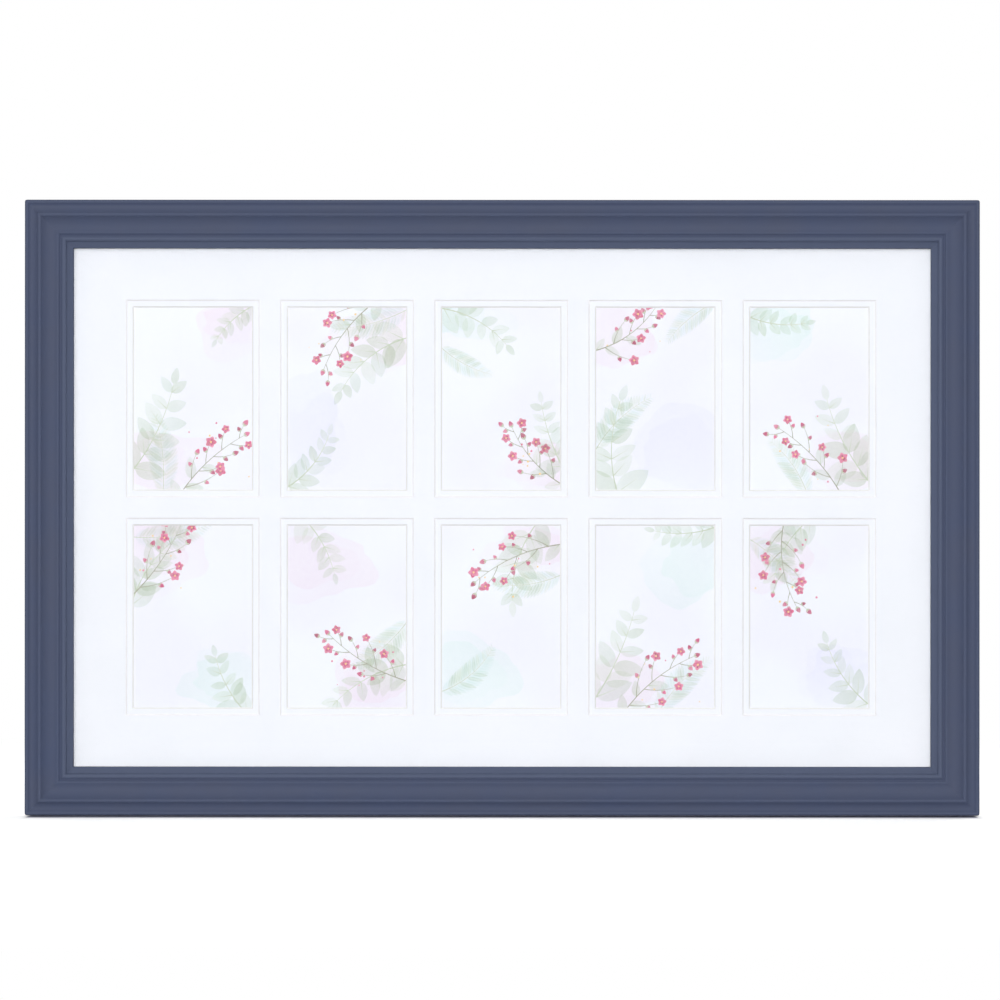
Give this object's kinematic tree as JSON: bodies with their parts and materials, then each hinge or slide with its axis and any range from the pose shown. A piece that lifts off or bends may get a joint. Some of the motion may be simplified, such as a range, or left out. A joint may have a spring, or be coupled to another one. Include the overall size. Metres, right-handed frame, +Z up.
{
  "type": "collage photo frame",
  "caption": "Wide mitred moulded frame with glass, a double window mat for a grid of photos, a backing board held by turn buttons, and swinging ring hangers.",
  "frame": {"origin": "centre of the frame's back plane, midway between its outer edges", "axes": "+X to the right and +Z up as seen from the front; +Y backwards to the wall, so the front faces -Y"},
  "size_m": [0.76, 0.0261, 0.49],
  "materials": {
    "painted_wood": "satin blue-grey paint on the face and sides",
    "window_glass": "clear",
    "mat_board": "matt white board",
    "card_print": "printed card",
    "hardboard": "bare hardboard",
    "zinc_steel": "zinc plated"
  },
  "bodies": {
    "frame": {"top_rail": "painted_wood", "bottom_rail": "painted_wood", "left_rail": "painted_wood", "right_rail": "painted_wood", "corner_v_nails": "zinc_steel", "glass_pane": "window_glass", "top_mat": "mat_board", "bottom_mat": "mat_board", "photo_card_1": "card_print", "photo_card_2": "card_print", "photo_card_3": "card_print", "photo_card_4": "card_print", "photo_card_5": "card_print", "photo_card_6": "card_print", "photo_card_7": "card_print", "photo_card_8": "card_print", "photo_card_9": "card_print", "photo_card_10": "card_print", "backing_board": "hardboard", "turn_button_screws": "zinc_steel", "hanger_strap_top_1": "zinc_steel", "hanger_strap_top_2": "zinc_steel", "hanger_strap_left_1": "zinc_steel", "hanger_strap_left_2": "zinc_steel", "hanger_screws": "zinc_steel"},
    "turn_button_top_1": {"turn_button_top_1": "zinc_steel"},
    "turn_button_top_2": {"turn_button_top_2": "zinc_steel"},
    "turn_button_top_3": {"turn_button_top_3": "zinc_steel"},
    "turn_button_bottom_1": {"turn_button_bottom_1": "zinc_steel"},
    "turn_button_bottom_2": {"turn_button_bottom_2": "zinc_steel"},
    "turn_button_bottom_3": {"turn_button_bottom_3": "zinc_steel"},
    "turn_button_left_1": {"turn_button_left_1": "zinc_steel"},
    "turn_button_left_2": {"turn_button_left_2": "zinc_steel"},
    "turn_button_right_1": {"turn_button_right_1": "zinc_steel"},
    "turn_button_right_2": {"turn_button_right_2": "zinc_steel"},
    "hanger_ring_top_1": {"hanger_ring_top_1": "zinc_steel"},
    "hanger_ring_top_2": {"hanger_ring_top_2": "zinc_steel"},
    "hanger_ring_left_1": {"hanger_ring_left_1": "zinc_steel"},
    "hanger_ring_left_2": {"hanger_ring_left_2": "zinc_steel"}
  },
  "joints": [
    {"name": "turn_button_top_1_turn", "type": "hinge", "parent": "frame", "child": "turn_button_top_1", "pos_m": [-0.2888, 0, 0.2205], "axis": [0, 1, 0], "continuous": true},
    {"name": "turn_button_top_2_turn", "type": "hinge", "parent": "frame", "child": "turn_button_top_2", "pos_m": [0, 0, 0.2205], "axis": [0, 1, 0], "continuous": true},
    {"name": "turn_button_top_3_turn", "type": "hinge", "parent": "frame", "child": "turn_button_top_3", "pos_m": [0.2888, 0, 0.2205], "axis": [0, 1, 0], "continuous": true},
    {"name": "turn_button_bottom_1_turn", "type": "hinge", "parent": "frame", "child": "turn_button_bottom_1", "pos_m": [-0.2888, 0, -0.2205], "axis": [0, 1, 0], "continuous": true},
    {"name": "turn_button_bottom_2_turn", "type": "hinge", "parent": "frame", "child": "turn_button_bottom_2", "pos_m": [0, 0, -0.2205], "axis": [0, 1, 0], "continuous": true},
    {"name": "turn_button_bottom_3_turn", "type": "hinge", "parent": "frame", "child": "turn_button_bottom_3", "pos_m": [0.2888, 0, -0.2205], "axis": [0, 1, 0], "continuous": true},
    {"name": "turn_button_left_1_turn", "type": "hinge", "parent": "frame", "child": "turn_button_left_1", "pos_m": [-0.3555, 0, -0.0833], "axis": [0, 1, 0], "continuous": true},
    {"name": "turn_button_left_2_turn", "type": "hinge", "parent": "frame", "child": "turn_button_left_2", "pos_m": [-0.3555, 0, 0.0833], "axis": [0, 1, 0], "continuous": true},
    {"name": "turn_button_right_1_turn", "type": "hinge", "parent": "frame", "child": "turn_button_right_1", "pos_m": [0.3555, 0, -0.0833], "axis": [0, 1, 0], "continuous": true},
    {"name": "turn_button_right_2_turn", "type": "hinge", "parent": "frame", "child": "turn_button_right_2", "pos_m": [0.3555, 0, 0.0833], "axis": [0, 1, 0], "continuous": true},
    {"name": "hanger_ring_top_1_swing", "type": "hinge", "parent": "frame", "child": "hanger_ring_top_1", "pos_m": [-0.1672, 0.00203, 0.229], "axis": [-1, 0, 0], "range_deg": [0, 178.2]},
    {"name": "hanger_ring_top_2_swing", "type": "hinge", "parent": "frame", "child": "hanger_ring_top_2", "pos_m": [0.1672, 0.00203, 0.229], "axis": [-1, 0, 0], "range_deg": [0, 178.2]},
    {"name": "hanger_ring_left_1_swing", "type": "hinge", "parent": "frame", "child": "hanger_ring_left_1", "pos_m": [-0.364, 0.00203, -0.1568], "axis": [0, 0, -1], "range_deg": [0, 178.2]},
    {"name": "hanger_ring_left_2_swing", "type": "hinge", "parent": "frame", "child": "hanger_ring_left_2", "pos_m": [-0.364, 0.00203, 0.1568], "axis": [0, 0, -1], "range_deg": [0, 178.2]}
  ]
}
